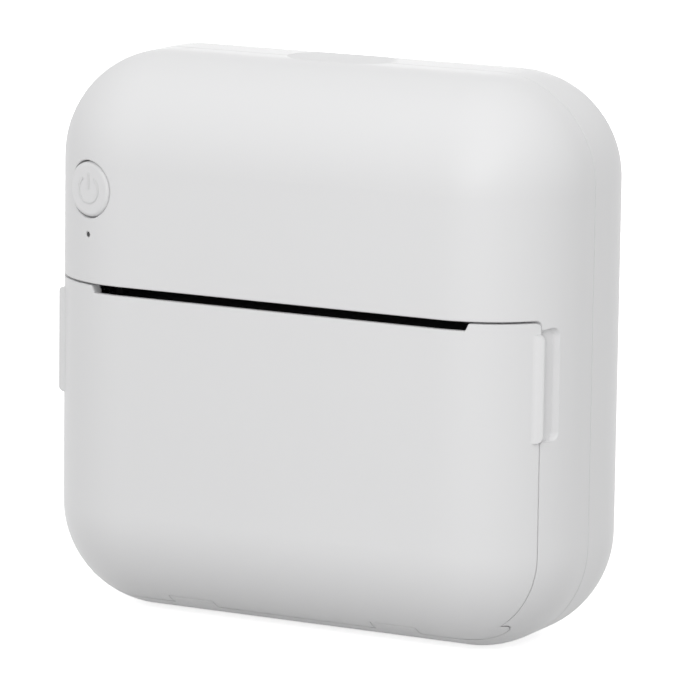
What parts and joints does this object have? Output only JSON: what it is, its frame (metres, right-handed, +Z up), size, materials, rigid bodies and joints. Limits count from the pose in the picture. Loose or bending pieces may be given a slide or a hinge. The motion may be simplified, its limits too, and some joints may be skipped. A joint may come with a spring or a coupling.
{
  "type": "portable thermal printer",
  "caption": "Pocket thermal printer: a rounded white case with a paper slot, a hinged front paper door, platen, print head and power button.",
  "frame": {"origin": "centre of the bounding box's bottom, on the surface that the printer stands on", "axes": "+X across the width, -Y out of the front with the slot and the door, +Z up through the charging port"},
  "size_m": [0.08, 0.0376, 0.0795],
  "materials": {
    "shell_white": "fine matte moulded ABS, white",
    "plug_white": "soft white plug",
    "frame_black": "matte moulded, black",
    "liner_grey": "matte moulded, dark grey",
    "gear_white": "natural acetal",
    "rubber_black": "ground silicone rubber",
    "steel": "bright steel",
    "screw_steel": "zinc-black steel",
    "motor_steel": "plated steel can",
    "brass": "turned brass",
    "bronze": "sintered bronze",
    "aluminium": "extruded, plain",
    "ceramic": "glazed ceramic",
    "epoxy_black": "potted epoxy",
    "board_green": "solder mask, green",
    "chip_black": "moulded package",
    "connector_cream": "moulded nylon",
    "can_steel": "tinned steel",
    "cell_foil": "laminated foil pouch",
    "foam": "double-sided foam tape",
    "flex_amber": "polyimide film",
    "lead_red": "PVC sleeve",
    "lead_grey": "PVC sleeve",
    "smoke": "smoked acrylic",
    "led": "cast epoxy"
  },
  "bodies": {
    "casing": {"battery": "cell_foil", "battery_leads": "lead_red", "battery_pad": "foam", "board_capacitors": "cell_foil", "board_chips": "chip_black", "board_connectors": "connector_cream", "board_screws": "screw_steel", "button_board": "board_green", "button_leads": "lead_grey", "chassis": "frame_black", "chassis_screws": "screw_steel", "front_shell": "shell_white", "head_cable": "flex_amber", "head_pivot": "steel", "hinge_pin": "steel", "idler_axle": "steel", "idler_clip": "steel", "insert_nuts": "brass", "light_pipe": "smoke", "main_board": "board_green", "motor_case": "motor_steel", "motor_flange": "motor_steel", "motor_leads": "lead_grey", "motor_screws": "screw_steel", "paper_sensor": "chip_black", "rear_shell": "shell_white", "screw_plugs": "plug_white", "shell_screws": "screw_steel", "shield_can": "can_steel", "status_led": "led", "switch_case": "chip_black", "tear_bar": "steel", "usb_socket": "can_steel", "usb_tongue": "chip_black"},
    "door": {"paper_door": "shell_white", "door_liner": "liner_grey", "door_screws": "screw_steel", "platen_bushes": "bronze"},
    "platen": {"platen_shaft": "steel", "platen_rubber": "rubber_black", "platen_gear": "gear_white", "shaft_clip": "steel"},
    "idler": {"idler_gear": "gear_white"},
    "pinion": {"motor_pinion": "brass", "motor_shaft": "steel"},
    "head": {"print_head": "ceramic", "head_driver": "epoxy_black", "heat_sink": "aluminium", "head_springs": "steel"},
    "button": {"power_button": "shell_white", "switch_plunger": "connector_cream"}
  },
  "joints": [
    {"name": "door_hinge", "type": "hinge", "parent": "casing", "child": "door", "pos_m": [0, -0.0116, 0.00341], "axis": [1, 0, 0], "range_deg": [0, 65]},
    {"name": "platen_spin", "type": "hinge", "parent": "door", "child": "platen", "pos_m": [0, -0.0095, 0.0412], "axis": [1, 0, 0], "continuous": true},
    {"name": "idler_spin", "type": "hinge", "parent": "casing", "child": "idler", "pos_m": [0, -0.001, 0.0412], "axis": [1, 0, 0], "continuous": true},
    {"name": "pinion_spin", "type": "hinge", "parent": "casing", "child": "pinion", "pos_m": [0, 0.0055, 0.04495], "axis": [1, 0, 0], "continuous": true},
    {"name": "head_tilt", "type": "hinge", "parent": "casing", "child": "head", "pos_m": [0, -0.00345, 0.049], "axis": [1, 0, 0], "range_deg": [0, 1.5], "stiffness_Nm_per_rad": 0.2, "springref_deg": -5.73},
    {"name": "button_press", "type": "slide", "parent": "casing", "child": "button", "axis": [0.2588, 0.9659, 0], "range_m": [0, 0.00035], "stiffness_N_per_m": 2000, "springref_m": -0.0002}
  ],
  "couplings": [
    {"joint": "idler_spin", "follows": "platen_spin", "ratio": -0.7},
    {"joint": "pinion_spin", "follows": "platen_spin", "ratio": 1.4}
  ]
}
